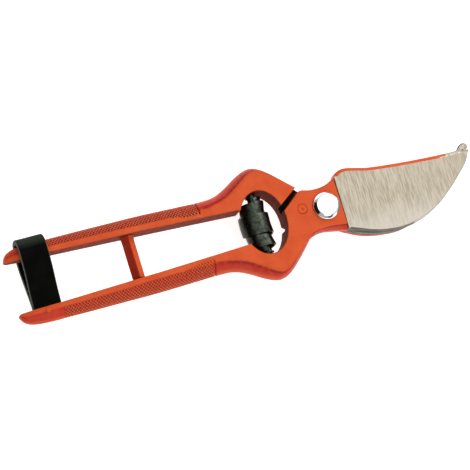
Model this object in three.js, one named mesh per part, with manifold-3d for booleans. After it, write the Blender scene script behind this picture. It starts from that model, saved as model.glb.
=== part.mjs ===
// Forged by-pass pruning shears, closed and held shut by a leather loop on the handle ends.
// Millimetres. X runs along the tool towards the blade tips, Y across it towards the upper handle,
// Z is up through the pivot. The origin is the centre of the pivot bolt's flat end face, so the
// shears lie on their back. Both levers are the same forging, one turned over about the tool axis.
import * as THREE from "three";
import { mergeVertices } from "three/addons/utils/BufferGeometryUtils.js";
import Module from "manifold-3d";

const wasm = await Module();
wasm.setup();

// ---- driving dimensions ----
const SHEAR_Z = 11.6; // height of the plane where the two levers slide on each other
const HALF = 6; // half of the lever's thickness, and the thickness of each half-lapped boss
const LAP_GAP = 0.06; // air between each boss and the shear plane
const EDGE = 0.5; // small chamfer along the inner edges of the handles
const NECK_X = 6.8; // where the painted neck ends and the blade begins
const BUTT_GAP = 0.1; // between a neck and its blade
const PRESS = 0.08; // air round a pin in its hole
const SEAT = 0.05; // air under the pivot's head, washer and nut

const CAVITY = { x: -29.2, a: 10.1, b: 14.2 }; // elliptical chamber of the spring
const BORE_R = 4.08;
const SHANK_R = 4;
const HEAD = { baseR: 6.2, discR: 4.7, height: 2.4, rim: 0.7 };
const WASHER = { r: 7, thick: 1.2 };
const NUT = { acrossFlats: 13, thick: 3.5 };

const SPRING = {
  x: -32.1, // the middle of the barrel
  bow: 2, // how much nearer the pivot its two ends are
  turns: 2, // in each half
  thick: 0.85,
  width: 9.2, // of the ribbon in the middle
  endWidth: 4,
  reach: 12.2, // half of the barrel's length
  stations: 160, // sections along the ribbon
};
// over the turns from the middle of the ribbon to either end: the radius of the coil, and how far
// the ribbon's own middle lies from the tool axis. Each coil tucks inside the one before it.
const COIL_RADIUS = [
  [0, 6.5], [0.25, 6.5], [0.5, 5.85], [0.75, 5.2], [1.25, 5.2], [1.5, 4.45], [1.75, 3.75], [2, 3.7],
];
const COIL_PLACE = [
  [0, 0], [0.25, 0.4], [0.5, 4.3], [0.75, 6.3], [1, 6.75], [1.25, 7.1], [1.5, 8.7], [1.75, 9.9], [2, 10.2],
];
const STUD = { x: -30, r: 2.1, flangeR: 2.7, flange: 0.7, tip: 7.6, tail: 19, tailR: 1.8 };

const BAR = { x: -88.6, side: 4.2, clear: 0.5, peg: 3.6, pegR: 1.5, flare: 0.6 };

const STRAP = {
  x0: -136.8,
  x1: -124.4,
  thick: 2.1,
  gap: 0.3, // between the leather and the upper handle
  handleHalf: 4.9, // half the thickness of the upper handle inside it, and how far out it reaches
  handleTop: 17.9,
  between: 0.12, // half of the air between the two layers at the tails
  foot: -15.1, // where its two tails end inside the slot
  mouth: -9.6, // where the tails come together
};
const SLOT = { side: 0.4, half: 2.6, floor: -15.5 };
const RIVET = { x: -131.4, y: -13.1, r: 0.9, headR: 1.1, dome: 0.3, half: 4.7 };

const ROUND = 48; // sides of a round hole or turned piece
const BEYOND = 10; // a cutter reaches this far through a lever

const HANDLE_END = -143.4;

// ---- outlines of one lever, written for the upper side: [x, distance from the tool axis] ----
const INNER = [[HANDLE_END, 11.7], [-142.4, 11.35], [-125, 11.05], [-80, 9.6], [-38, 7.8], [-34, 5], [-8, 5]];
const BAND = [
  [HANDLE_END, 12.3], [-141.5, 13], [-137, 13.4], [-98, 12.8], [-82, 12.2], [-54, 12.1], [-46, 13.5],
  [-41, 15.4], [-35, 19.3], [-30, 22.5], [-27, 23.1], [-24, 22.2], [-20, 19.3], [-16, 15.7],
  [-12, 12.1], [-8, 8.5],
];
const OUTER = [
  [HANDLE_END, 13], [-142.6, 14.4], [-141, 15.8], [-138.5, 16.8], [-134, 17.4], [-127, 17.6], [-98, 17.6],
  [-81, 17.5], [-62, 16.9], [-50, 16.7], [-45, 17.7], [-40, 20.1], [-35.5, 22.8], [-31, 24.9],
  [-27.4, 25.5], [-24, 24.4], [-20.5, 21.9], [-16, 17.8], [-12, 13.6], [-8, 9.3],
];
const THICK = [[HANDLE_END, 1.9], [-141.5, 2.8], [-137, 3.9], [-128, 4.7], [-115, 5.1], [-85, 6], [-8, 6]];
// the outer side of the section, from the flat band (0, 1) to the nose (1, 0)
const NOSE = [[0, 1], [0.4, 0.78], [0.74, 0.5], [0.93, 0.24], [1, 0]];

// boss and neck of a lever whose handle is on the lower side
const GAP_EDGE = [[-19.15, 2.4], [-10.55, 9.5]];
const NECK_TOP = [[-8.8, 9.8], [-5, 8.9], [-0.5, 8.9], [3.8, 9.9], [NECK_X, 11.4]];
const NECK_BOTTOM = [
  [NECK_X, -12.1], [2.2, -11.1], [-3.8, -10.2], [-7.4, -10.6], [-11, -12.1], [-15.5, -14.4],
];
// the back lever is slimmer here, so that it stays hidden behind the front one
const BACK_NECK_BOTTOM = [
  [NECK_X, -11.2], [2.2, -9.4], [-3.8, -8.8], [-7.4, -9.4], [-11, -11.2], [-15.5, -13.6],
];
const BOSS_ROOT = [[-23, 1], [-23, -14]]; // the boss plate ends here, inside the bow
const NECK_CHAMFER = { least: 0.9, from: -4, growth: 0.11, end: 2, top: 0.35, rootX: -18.5 };
const SHOULDER = [[-19.8, 5.2], [-12.4, 10.4]];

// blades, seen from the front
const BLADE_TOP = [
  [NECK_X + BUTT_GAP, 11.3], [8.6, 13.3], [12.4, 14.4], [24, 12.3], [35, 11.3], [47, 10.6],
  [60, 10.2], [71.4, 10.2],
];
const BLADE_EDGE = [
  [73.3, 9.3], [70.6, 4.7], [65.3, -0.6], [59.2, -5.8], [52.4, -10.8], [45.5, -14.3], [38.3, -16.6],
  [31, -17.4], [24, -16.9], [17, -15.4], [11.5, -13.4], [NECK_X + BUTT_GAP, -12],
];
const HOOK_BACK = [
  [NECK_X + BUTT_GAP, -11.4], [10.5, -13.7], [16, -15.9], [24, -17.4], [31, -17.6], [38, -16.1], [46, -12.4],
  [54, -6.9], [62, 0], [69, 6.8], [73.7, 11],
];
const HOOK_EDGE = [
  [73.6, 12], [72.9, 12.8], [71.6, 13.1], [70.2, 12.6], [68.8, 11.2], [65, 7.8], [57, 2.2], [48, -2.2],
  [38, -4.6], [28, -4.6], [20, -2], [14, 3], [10, 7.6], [NECK_X + BUTT_GAP, 10.9],
];
const BEVEL = { butt: 0.25, spine: 1.45, edge: 0.55 }; // widths, seen from the front
const onSpine = (x, y) => y > 7 + 0.03 * x;
// the front blade's face is one plane: its height above the shear plane at a point
const faceHeight = (x, y) => 6.58 - 0.0665 * x + 0.0375 * y;
const HOOK_TIP_X = 74.3;
const hookHeight = (x) => 5.9 - 0.05 * x;

const material = (color, roughness, metalness) =>
  new THREE.MeshStandardMaterial({ color, roughness, metalness });
const MATERIALS = {
  paint: material(0xd8502a, 0.45, 0.1),
  blade: material(0xc9bfae, 0.35, 0.9),
  chrome: material(0xe6e6e6, 0.12, 1),
  blued: material(0x2e3634, 0.45, 0.85),
  leather: material(0x151515, 0.6, 0),
  zinc: material(0xa9abac, 0.4, 0.9),
};

const shears = new THREE.Group();
shears.name = "pruning_shears";

function addMesh(parent, name, geometry, slot) {
  const mesh = new THREE.Mesh(geometry, MATERIALS[slot]);
  mesh.name = name;
  parent.add(mesh);
  return mesh;
}

// ---- geometry helpers ----

// A smooth height over x through a few points, with the slopes of a Catmull-Rom curve.
function through(points) {
  const slope = points.map((p, i) => {
    const before = points[Math.max(i - 1, 0)];
    const after = points[Math.min(i + 1, points.length - 1)];
    return (after[1] - before[1]) / (after[0] - before[0]);
  });
  return (x) => {
    let i = 0;
    while (i < points.length - 2 && x > points[i + 1][0]) i += 1;
    const [x0, y0] = points[i];
    const [x1, y1] = points[i + 1];
    const run = x1 - x0;
    const t = THREE.MathUtils.clamp((x - x0) / run, 0, 1);
    const hermite = (2 * t ** 3 - 3 * t ** 2 + 1) * y0 + (3 * t ** 2 - 2 * t ** 3) * y1;
    return hermite + run * ((t ** 3 - 2 * t ** 2 + t) * slope[i] + (t ** 3 - t ** 2) * slope[i + 1]);
  };
}

// A height over x that runs straight between its points.
function straight(points) {
  return (x) => {
    let i = 0;
    while (i < points.length - 2 && x > points[i + 1][0]) i += 1;
    const [x0, y0] = points[i];
    const [x1, y1] = points[i + 1];
    return THREE.MathUtils.mapLinear(THREE.MathUtils.clamp(x, x0, x1), x0, x1, y0, y1);
  };
}

// Points along a smooth curve through the given ones.
function smooth(points, pieces) {
  const places = points.map(([x, y]) => new THREE.Vector3(x, y, 0));
  const curve = new THREE.CatmullRomCurve3(places, false, "centripetal");
  return curve.getPoints(pieces).map((p) => [p.x, p.y]);
}

function geometryOf(positions, index) {
  const geometry = new THREE.BufferGeometry();
  geometry.setAttribute("position", new THREE.Float32BufferAttribute(positions.flat(), 3));
  geometry.setIndex(index.flat());
  return geometry;
}

// A closed skin over rings that all have the same number of points, capped flat at both ends.
function skin(rings) {
  const n = rings[0].length;
  const faces = [];
  for (let r = 0; r < rings.length - 1; r += 1) {
    for (let i = 0; i < n; i += 1) {
      const j = (i + 1) % n;
      const low = r * n;
      const high = low + n;
      faces.push([low + i, low + j, high + j], [low + i, high + j, high + i]);
    }
  }
  const last = (rings.length - 1) * n;
  for (const [a, b, c] of capOf(rings[0])) faces.push([c, b, a]);
  for (const [a, b, c] of capOf(rings[rings.length - 1])) faces.push([last + a, last + b, last + c]);
  return geometryOf(rings.flat(), faces);
}

// Triangles over one ring, found in the coordinate plane where it is widest.
function capOf(ring) {
  const box = new THREE.Box3().setFromPoints(ring.map((p) => new THREE.Vector3(...p)));
  const size = box.getSize(new THREE.Vector3());
  const flat = size.x < size.z ? [1, 2] : [0, 1];
  return THREE.ShapeUtils.triangulateShape(ring.map((p) => new THREE.Vector2(p[flat[0]], p[flat[1]])), []);
}

// The outline moved inwards by a distance at each point; the outline runs counter-clockwise.
function inset(outline, distanceAt) {
  const n = outline.length;
  return outline.map(([x, y], i) => {
    const [ax, ay] = outline[(i + n - 1) % n];
    const [bx, by] = outline[(i + 1) % n];
    const along = new THREE.Vector2(bx - ax, by - ay).normalize();
    const d = distanceAt(x, y, i);
    return [x - along.y * d, y + along.x * d];
  });
}

const solid = (geometry) => {
  const bare = geometry.clone();
  bare.deleteAttribute("normal");
  bare.deleteAttribute("uv");
  const merged = mergeVertices(bare, 1e-4);
  const mesh = new wasm.Mesh({
    numProp: 3,
    vertProperties: merged.attributes.position.array,
    triVerts: new Uint32Array(merged.index.array),
  });
  return new wasm.Manifold(mesh);
};

function meshed(manifold) {
  const m = manifold.getMesh();
  const geometry = new THREE.BufferGeometry();
  geometry.setAttribute("position", new THREE.BufferAttribute(m.vertProperties, 3));
  geometry.setIndex(new THREE.BufferAttribute(m.triVerts, 1));
  return geometry;
}

// A plan outline, counter-clockwise, raised from one height to another.
const column = (outline, z0, z1) =>
  skin([outline.map(([x, y]) => [x, y, z0]), outline.map(([x, y]) => [x, y, z1])]);

function ellipse(x, y, a, b, segments) {
  return Array.from({ length: segments }, (_, i) => {
    const t = (2 * Math.PI * i) / segments;
    return [x + a * Math.cos(t), y + b * Math.sin(t)];
  });
}

// A turned piece about Z from [radius, height] points that start and end on the axis.
function turned(profile, segments = ROUND) {
  const points = profile.map(([r, z]) => new THREE.Vector2(r, z));
  return new THREE.LatheGeometry(points, segments).rotateX(Math.PI / 2);
}

// ---- levers ----

// The handle and bow of the front lever as sections across the tool, heights from the shear plane.
function handleAndBow() {
  const inner = straight(INNER);
  const band = through(BAND);
  const outer = through(OUTER);
  const half = straight(THICK);
  const rings = [];
  const station = (x) => {
    const [yi, yb, yo, h] = [inner(x), band(x), outer(x), half(x)];
    const e = Math.min(EDGE, (yb - yi) / 3);
    const nose = NOSE.map(([along, up]) => [yb + along * (yo - yb), up * h]);
    const front = [[yi, h - e], [yi + e, h], ...nose];
    const back = front.slice(0, -1).reverse().map(([y, z]) => [y, -z]);
    rings.push([...front, ...back].map(([y, z]) => [x, -y, z]));
  };
  const [tipEnd, gripEnd, bowEnd] = [-138, -54, -9];
  for (let x = HANDLE_END; x < tipEnd; x += 0.9) station(x);
  for (let x = tipEnd; x < gripEnd; x += 3) station(x);
  for (let x = gripEnd; x <= bowEnd; x += 1.5) station(x);
  return skin(rings);
}

// The half-lapped boss and neck: straight sides from the lap face, then a chamfer to the front face.
function bossPlate(neckBottom) {
  const outline = [
    ...smooth(neckBottom, 20).reverse(),
    ...smooth(NECK_TOP, 16).reverse(),
    ...GAP_EDGE.slice().reverse(),
    ...BOSS_ROOT,
  ];
  const { least, from, growth, end, top, rootX } = NECK_CHAMFER;
  const atEnd = (x) => x > NECK_X - 0.01;
  const chamfer = (x, y) => {
    if (atEnd(x) || x < rootX) return 0;
    return y < 0 ? least + growth * Math.max(x - from, 0) : top;
  };
  const front = inset(outline, chamfer);
  outline.forEach(([x, y], i) => {
    if (atEnd(x)) front[i][1] = y < 0 ? y + end : y - top;
  });
  const at = (points, z) => points.map(([x, y]) => [x, y, z]);
  return skin([at(outline, LAP_GAP), at(outline, HALF * 0.55), at(front, HALF)]);
}

// Everything behind the lap face on the pivot's side of the shoulder.
function lapCutter() {
  const [[x0, y0], [x1, y1]] = SHOULDER;
  const slope = (y1 - y0) / (x1 - x0);
  const far = 12;
  const [clearX, clearY] = [NECK_X + 20, 30];
  const outline = [
    [x0 - far, -(y0 - slope * far)],
    [x1 + far, -(y1 + slope * far)],
    [clearX, -clearY],
    [clearX, clearY],
    [x0 - far, clearY],
  ];
  return column(outline, -HALF - 2, LAP_GAP);
}

function lever(neckBottom) {
  const boss = solid(bossPlate(neckBottom));
  const cavity = solid(column(ellipse(CAVITY.x, 0, CAVITY.a, CAVITY.b, 72), -BEYOND, BEYOND));
  const bore = solid(column(ellipse(0, 0, BORE_R, BORE_R, ROUND), -BEYOND, BEYOND));
  const stud = solid(pinHole(STUD.x, -10, -STUD.tail - 0.4, STUD.tailR + PRESS));
  return solid(handleAndBow())
    .subtract(solid(lapCutter()))
    .add(boss)
    .subtract(cavity)
    .subtract(bore)
    .subtract(stud);
}

// A round hole along Y at the shear plane, between two distances from the tool axis.
function pinHole(x, y0, y1, r) {
  const depth = Math.abs(y1 - y0);
  return new THREE.CylinderGeometry(r, r, depth, 24).translate(x, (y0 + y1) / 2, 0);
}

function strapSlot() {
  const { x0, x1 } = STRAP;
  const height = 12;
  const box = new THREE.BoxGeometry(x1 - x0 + 2 * SLOT.side, height, 2 * SLOT.half);
  return box.translate((x0 + x1) / 2, SLOT.floor + height / 2, 0);
}

function frontLever() {
  const rivetHole = ellipse(RIVET.x, RIVET.y, RIVET.r + PRESS, RIVET.r + PRESS, 24);
  return meshed(
    lever(NECK_BOTTOM).subtract(solid(strapSlot())).subtract(solid(column(rivetHole, -BEYOND, BEYOND))),
  );
}

const innerAt = straight(INNER);

// Made with its handle on the lower side, like the front lever, and turned over when it is added.
function backLever() {
  const hole = pinHole(BAR.x, -8, -innerAt(BAR.x) - BAR.peg - 0.3, BAR.pegR + PRESS);
  return meshed(lever(BACK_NECK_BOTTOM).subtract(solid(hole)));
}

// ---- blades ----

function counterClockwise(points) {
  const flat = points.map(([x, y]) => new THREE.Vector2(x, y));
  return THREE.ShapeUtils.isClockWise(flat) ? points.reverse() : points;
}

function frontBlade() {
  const left = NECK_X + BUTT_GAP;
  const buttRun = 9; // over this length the wall at the butt runs down to the cutting edge
  const outline = counterClockwise([...smooth(BLADE_TOP, 40), ...smooth(BLADE_EDGE, 56)]);
  const corners = [BLADE_TOP[0], BLADE_TOP.at(-1), BLADE_EDGE[0], BLADE_EDGE.at(-1)];
  const bevel = (x, y) => {
    const near = Math.min(...corners.map(([a, b]) => Math.hypot(x - a, y - b)));
    const side = onSpine(x, y) ? BEVEL.spine : BEVEL.edge;
    return Math.min(x < left + 0.5 ? BEVEL.butt : side, 0.3 + 0.8 * near);
  };
  const face = inset(outline, bevel);
  const arris = inset(outline, (x, y) => bevel(x, y) * 0.3);
  // 1 along the spine and the butt, fading to 0 along the cutting edge, where the wall is low
  const blunt = (x, y) => (onSpine(x, y) ? 1 : THREE.MathUtils.smoothstep(left + buttRun - x, 0, buttRun));
  const height = ([x, y], low, drop) => THREE.MathUtils.lerp(low, faceHeight(x, y) - drop, blunt(x, y));
  const wall = outline.map((p) => [...p, height(p, 0.7, 1.2)]);
  const rim = arris.map((p, i) => [...p, height(outline[i], 1.1, 0.6)]);
  return skin([
    outline.map(([x, y]) => [x, y, LAP_GAP]),
    wall,
    rim,
    face.map(([x, y]) => [x, y, faceHeight(x, y)]),
  ]);
}

// Lies behind the shear plane: ring heights run downwards, so the rings are listed from the back.
function counterBlade() {
  const outline = counterClockwise([...smooth(HOOK_BACK, 44), ...smooth(HOOK_EDGE, 44)]);
  const chamfer = (x) => Math.min(0.15 * (x - NECK_X), 1.1, 0.1 * (HOOK_TIP_X - x));
  const back = inset(outline, chamfer);
  return skin([
    back.map(([x, y]) => [x, y, -hookHeight(x)]),
    outline.map(([x, y]) => [x, y, 1.4 - hookHeight(x)]),
    outline.map(([x, y]) => [x, y, -LAP_GAP]),
  ]);
}

// ---- pivot ----

function pivotBolt() {
  const front = SHEAR_Z + HALF + SEAT;
  const { baseR, discR, height, rim } = HEAD;
  return turned([
    [0, 0], [SHANK_R - 0.6, 0], [SHANK_R, 0.6], [SHANK_R, front], [baseR, front], [baseR, front + rim],
    [baseR - 0.35, front + rim + 0.35], [discR + 0.2, front + height - 0.15], [discR, front + height],
    [0, front + height],
  ]);
}

const washerTop = SHEAR_Z - HALF - SEAT;

function ringPlate(outline, holeR, z0, z1) {
  const hole = ellipse(0, 0, holeR, holeR, ROUND);
  return meshed(solid(column(outline, z0, z1)).subtract(solid(column(hole, z0 - 1, z1 + 1))));
}

const pivotWasher = () =>
  ringPlate(ellipse(0, 0, WASHER.r, WASHER.r, ROUND), SHANK_R + 0.3, washerTop - WASHER.thick, washerTop);

function pivotNut() {
  const top = washerTop - WASHER.thick - SEAT;
  const r = NUT.acrossFlats / 2 / Math.cos(Math.PI / 6);
  return ringPlate(ellipse(0, 0, r, r, 6), SHANK_R + 0.1, top - NUT.thick, top);
}

// ---- volute spring and its studs ----

// A flat ribbon wound about Y. It is widest in the middle of the barrel, and each half winds inwards.
function voluteSpring() {
  const { turns, thick, width, endWidth, reach, bow, x, stations } = SPRING;
  const radiusAt = through(COIL_RADIUS);
  const placeAt = through(COIL_PLACE);
  const rings = [];
  for (let i = 0; i <= stations; i += 1) {
    const t = THREE.MathUtils.lerp(-turns, turns, i / stations);
    const mid = radiusAt(Math.abs(t));
    const wide = THREE.MathUtils.lerp(width, endWidth, Math.abs(t) / turns);
    const middle = Math.sign(t) * placeAt(Math.abs(t));
    const angle = 2 * Math.PI * t + Math.PI / 2; // the middle of the ribbon lies to the front
    const [sin, cos] = [Math.sin(angle), Math.cos(angle)];
    const corner = (r, y) => [x + bow * (y / reach) ** 2 + r * cos, y, SHEAR_Z + r * sin];
    rings.push([
      corner(mid + thick / 2, middle - wide / 2),
      corner(mid + thick / 2, middle + wide / 2),
      corner(mid - thick / 2, middle + wide / 2),
      corner(mid - thick / 2, middle - wide / 2),
    ]);
  }
  return ribbon(rings);
}

// Four-cornered sections joined into one closed strip.
function ribbon(rings) {
  const faces = [];
  rings.slice(1).forEach((_, r) => {
    for (let i = 0; i < 4; i += 1) {
      const j = (i + 1) % 4;
      faces.push([4 * r + i, 4 * r + j, 4 * r + 4 + j], [4 * r + i, 4 * r + 4 + j, 4 * r + 4 + i]);
    }
  });
  const end = 4 * (rings.length - 1);
  faces.push([2, 1, 0], [3, 2, 0], [end, end + 1, end + 2], [end, end + 2, end + 3]);
  return geometryOf(rings.flat(), faces);
}

// A flanged peg that stands in the bow and keeps the end coil in place, for the lower bow.
function springStud() {
  const wall = SPRING.reach + 0.15;
  return turned([
    [0, STUD.tip], [STUD.r - 0.5, STUD.tip], [STUD.r, STUD.tip + 0.5], [STUD.r, wall],
    [STUD.flangeR, wall], [STUD.flangeR, wall + STUD.flange], [STUD.tailR, wall + STUD.flange],
    [STUD.tailR, STUD.tail], [0, STUD.tail],
  ], 32).rotateX(Math.PI / 2).translate(STUD.x, 0, 0);
}

// ---- stop bar ----

// A square bar set corner forward, flared where it meets the handle, with a round peg in the handle.
function stopBar() {
  const reach = BAR.side / Math.SQRT2;
  const top = innerAt(BAR.x + reach + BAR.flare) - 0.05;
  const bottom = -innerAt(BAR.x + reach) + BAR.clear;
  const ring = (y, r) => [[r, 0], [0, r], [-r, 0], [0, -r]].map(([x, z]) => [BAR.x + x, y, z]);
  const body = [
    ring(top, reach + BAR.flare),
    ring(top - 0.6, reach + 0.5 * BAR.flare),
    ring(top - 1.6, reach + 0.1 * BAR.flare),
    ring(top - 2.8, reach),
    ring(bottom + 0.5, reach),
    ring(bottom, reach - 0.5),
  ];
  const peg = pinHole(BAR.x, top - 1, top + BAR.peg, BAR.pegR);
  return meshed(solid(ribbon(body)).add(solid(peg)));
}

// ---- strap ----

// The loop's middle line in the YZ plane, from the tail in the slot, over the upper handle and back.
function strapLine() {
  const wall = STRAP.handleHalf + STRAP.gap + STRAP.thick / 2;
  const together = STRAP.thick / 2 + STRAP.between;
  const crown = STRAP.handleTop + STRAP.gap + STRAP.thick / 2;
  const turnAt = 13; // the layers begin to close over the handle here
  const half = [
    [STRAP.foot, together],
    [STRAP.mouth - 1.6, together],
    [STRAP.mouth, together + 0.15],
    [-2, 2.9],
    [5, 5],
    [10, wall - 0.15],
    [turnAt, wall + 0.1],
  ];
  const round = [20, 40, 60, 78, 90].map((degrees) => {
    const t = THREE.MathUtils.degToRad(degrees);
    return [turnAt + (crown - turnAt) * Math.sin(t) ** 0.9, (wall + 0.1) * Math.cos(t) ** 0.85];
  });
  round[round.length - 1] = [crown, 0];
  const up = [...half, ...round];
  return [...up, ...up.slice(0, -1).reverse().map(([y, z]) => [y, -z])];
}

function strap() {
  const line = strapLine();
  const offset = (side) =>
    line.map(([y, z], i) => {
      const [ay, az] = line[Math.max(i - 1, 0)];
      const [by, bz] = line[Math.min(i + 1, line.length - 1)];
      const along = new THREE.Vector2(by - ay, bz - az).normalize();
      return [y - along.y * side, z + along.x * side];
    });
  const profile = [...offset(STRAP.thick / 2), ...offset(-STRAP.thick / 2).reverse()];
  const shape = counterClockwise(profile.map(([y, z]) => [y, z]));
  const ring = (x) => shape.map(([y, z]) => [x, y, SHEAR_Z + z]);
  const loose = RIVET.r + 0.15;
  const hole = column(ellipse(RIVET.x, RIVET.y, loose, loose, 24), 0, 2 * SHEAR_Z);
  return meshed(solid(skin([ring(STRAP.x0), ring(STRAP.x1)])).subtract(solid(hole)));
}

// A through pin, peened to a low dome on both faces of the lower handle.
function strapRivet() {
  const { r, headR, dome, half } = RIVET;
  const side = [[0, -half - dome], [headR * 0.8, -half - dome * 0.7], [headR, -half], [r, -half]];
  const other = [...side].reverse().map(([radius, z]) => [radius, -z]);
  return turned([...side, ...other], 24).translate(RIVET.x, RIVET.y, SHEAR_Z);
}

// ---- assembly ----

const front = new THREE.Group();
front.name = "front_lever_set";
front.position.z = SHEAR_Z;
addMesh(front, "front_lever", frontLever(), "paint");
addMesh(front, "front_blade", frontBlade(), "blade");
addMesh(front, "lower_spring_stud", springStud(), "zinc");

const back = new THREE.Group();
back.name = "back_lever_set";
back.position.z = SHEAR_Z;
addMesh(back, "back_lever", backLever().rotateX(Math.PI), "paint");
addMesh(back, "counter_blade", counterBlade(), "blade");
addMesh(back, "upper_spring_stud", springStud().rotateX(Math.PI), "zinc");
addMesh(back, "stop_bar", stopBar(), "paint");

shears.add(front, back);
addMesh(shears, "pivot_bolt", pivotBolt(), "chrome");
addMesh(shears, "pivot_washer", pivotWasher(), "zinc");
addMesh(shears, "pivot_nut", pivotNut(), "zinc");
addMesh(shears, "volute_spring", voluteSpring(), "blued");
addMesh(shears, "strap", strap(), "leather");
addMesh(shears, "strap_rivet", strapRivet(), "paint");

export default shears;
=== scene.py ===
"""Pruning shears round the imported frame: forged and painted levers with chequered grips, ground blades,
a polished pivot, a blued volute spring and a leather loop. Lengths in the tables are millimetres."""
import math

import bmesh
import bpy
import numpy as np
from mathutils import Matrix, Vector, noise

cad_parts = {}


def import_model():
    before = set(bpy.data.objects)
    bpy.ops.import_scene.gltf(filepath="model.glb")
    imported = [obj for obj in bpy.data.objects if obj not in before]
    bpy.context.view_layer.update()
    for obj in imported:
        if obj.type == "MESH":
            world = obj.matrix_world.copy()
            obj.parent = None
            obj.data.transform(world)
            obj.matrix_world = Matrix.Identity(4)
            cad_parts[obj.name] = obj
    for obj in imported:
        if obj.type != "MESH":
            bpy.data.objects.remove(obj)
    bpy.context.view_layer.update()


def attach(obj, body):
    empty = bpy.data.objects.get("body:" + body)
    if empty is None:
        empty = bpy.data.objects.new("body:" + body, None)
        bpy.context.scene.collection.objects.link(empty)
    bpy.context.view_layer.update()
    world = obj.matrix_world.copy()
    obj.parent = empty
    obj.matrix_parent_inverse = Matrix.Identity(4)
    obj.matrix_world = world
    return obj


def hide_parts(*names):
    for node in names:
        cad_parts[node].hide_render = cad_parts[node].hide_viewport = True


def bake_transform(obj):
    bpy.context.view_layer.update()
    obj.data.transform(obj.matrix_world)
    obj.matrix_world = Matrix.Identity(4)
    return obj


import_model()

MM = 0.001
SHEAR_Z = 11.6  # height of the plane where the two levers slide on each other
HALF = 6.0  # half of a lever's thickness
LAP_GAP = 0.06  # between a lever and that plane
NECK_X = 6.8  # where the levers end and the blades begin
TIP_X = -143.4  # the end of the handles
FRONT, BACK, LOOP = "front_lever_body", "back_lever_body", "strap_body"

# ---------------------------------------------------------------- camera
LENS, SENSOR, CLIP = 193.68, 36.0, (0.05, 20.0)
CAMERA_AT = Vector((-0.33806, -0.17987, 1.05572))
CAMERA_RIGHT = Vector((0.931723, -0.293373, 0.214068))
CAMERA_UP = Vector((0.243629, 0.942044, 0.230652))
CAMERA_BACK = Vector((-0.269328, -0.162750, 0.949197))
HEAD_AT = Vector((0, 0, 0.02))  # the bolt's head, about which the camera is rolled
ROLL = math.radians(0.05)
DROP = 0.00043  # metres that it is then lowered by, along its own upright

camera_data = bpy.data.cameras.new("camera")
camera_data.lens = LENS
camera_data.sensor_width = SENSOR
camera_data.clip_start, camera_data.clip_end = CLIP
camera = bpy.data.objects.new("camera", camera_data)
bpy.context.scene.collection.objects.link(camera)
turn = Matrix((CAMERA_RIGHT, CAMERA_UP, CAMERA_BACK)).transposed().to_4x4()
about = Matrix.Translation(HEAD_AT) @ Matrix.Rotation(ROLL, 4, CAMERA_BACK) @ Matrix.Translation(-HEAD_AT)
camera.matrix_world = Matrix.Translation(-DROP * CAMERA_UP) @ about @ Matrix.Translation(CAMERA_AT) @ turn
bpy.context.scene.camera = camera


# ---------------------------------------------------------------- curves and meshes
def through(points):
    """A smooth height over x through a few points."""
    slope = []
    for i in range(len(points)):
        before, after = points[max(i - 1, 0)], points[min(i + 1, len(points) - 1)]
        slope.append((after[1] - before[1]) / (after[0] - before[0]))

    def at(x):
        i = 0
        while i < len(points) - 2 and x > points[i + 1][0]:
            i += 1
        (x0, y0), (x1, y1) = points[i], points[i + 1]
        run = x1 - x0
        t = min(max((x - x0) / run, 0), 1)
        value = (2 * t**3 - 3 * t**2 + 1) * y0 + (3 * t**2 - 2 * t**3) * y1
        return value + run * ((t**3 - 2 * t**2 + t) * slope[i] + (t**3 - t**2) * slope[i + 1])

    return at


def straight(points):
    """A height over x that runs straight between its points."""
    xs, ys = zip(*points)
    return lambda x: float(np.interp(x, xs, ys))


def smooth(points, pieces):
    """Points along a centripetal Catmull-Rom curve through the given ones."""
    p = [np.array(q, float) for q in points]
    p = [2 * p[0] - p[1], *p, 2 * p[-1] - p[-2]]
    spans = len(p) - 3
    out = []
    for k in range(pieces + 1):
        s = k / pieces * spans
        i = min(int(s), spans - 1)
        t = s - i
        p0, p1, p2, p3 = p[i : i + 4]
        d0, d1, d2 = (max(np.linalg.norm(b - a) ** 0.5, 1e-4) for a, b in ((p0, p1), (p1, p2), (p2, p3)))
        t1 = ((p1 - p0) / d0 - (p2 - p0) / (d0 + d1) + (p2 - p1) / d1) * d1
        t2 = ((p2 - p1) / d1 - (p3 - p1) / (d1 + d2) + (p3 - p2) / d2) * d1
        c2 = -3 * p1 + 3 * p2 - 2 * t1 - t2
        c3 = 2 * p1 - 2 * p2 + t1 + t2
        out.append(tuple(p1 + t1 * t + c2 * t**2 + c3 * t**3))
    return out


def even(points, count):
    """The same polyline, resampled to count points evenly along its length."""
    p = np.array(points, float)
    run = np.concatenate([[0], np.cumsum(np.linalg.norm(np.diff(p, axis=0), axis=1))])
    want = np.linspace(0, run[-1], count)
    return [tuple(np.interp(w, run, p[:, k]) for k in range(p.shape[1])) for w in want]


def ease(a, b, x):
    """0 below a, 1 above b, and a smooth step between them."""
    t = min(max((x - a) / (b - a), 0), 1)
    return t * t * (3 - 2 * t)


def inset(outline, distance_at):
    """A counter-clockwise outline moved inwards by a distance at each point."""
    n = len(outline)
    out = []
    for i, (x, y) in enumerate(outline):
        (ax, ay), (bx, by) = outline[i - 1], outline[(i + 1) % n]
        along = Vector((bx - ax, by - ay)).normalized()
        d = distance_at(x, y)
        out.append((x - along.y * d, y + along.x * d))
    return out


def ellipse(x, y, a, b, count):
    """Points round an ellipse about (x, y), counter-clockwise."""
    turns = [math.tau * i / count for i in range(count)]
    return [(x + a * math.cos(t), y + b * math.sin(t)) for t in turns]


def skin(rings):
    """Vertices and faces of a skin over rings of equal length, capped flat at both ends."""
    n = len(rings[0])
    faces = []
    for r in range(len(rings) - 1):
        for i in range(n):
            j = (i + 1) % n
            faces.append((r * n + i, r * n + j, r * n + n + j, r * n + n + i))
    faces.append(tuple(range(n))[::-1])
    faces.append(tuple((len(rings) - 1) * n + i for i in range(n)))
    return [tuple(p) for ring in rings for p in ring], faces


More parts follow.
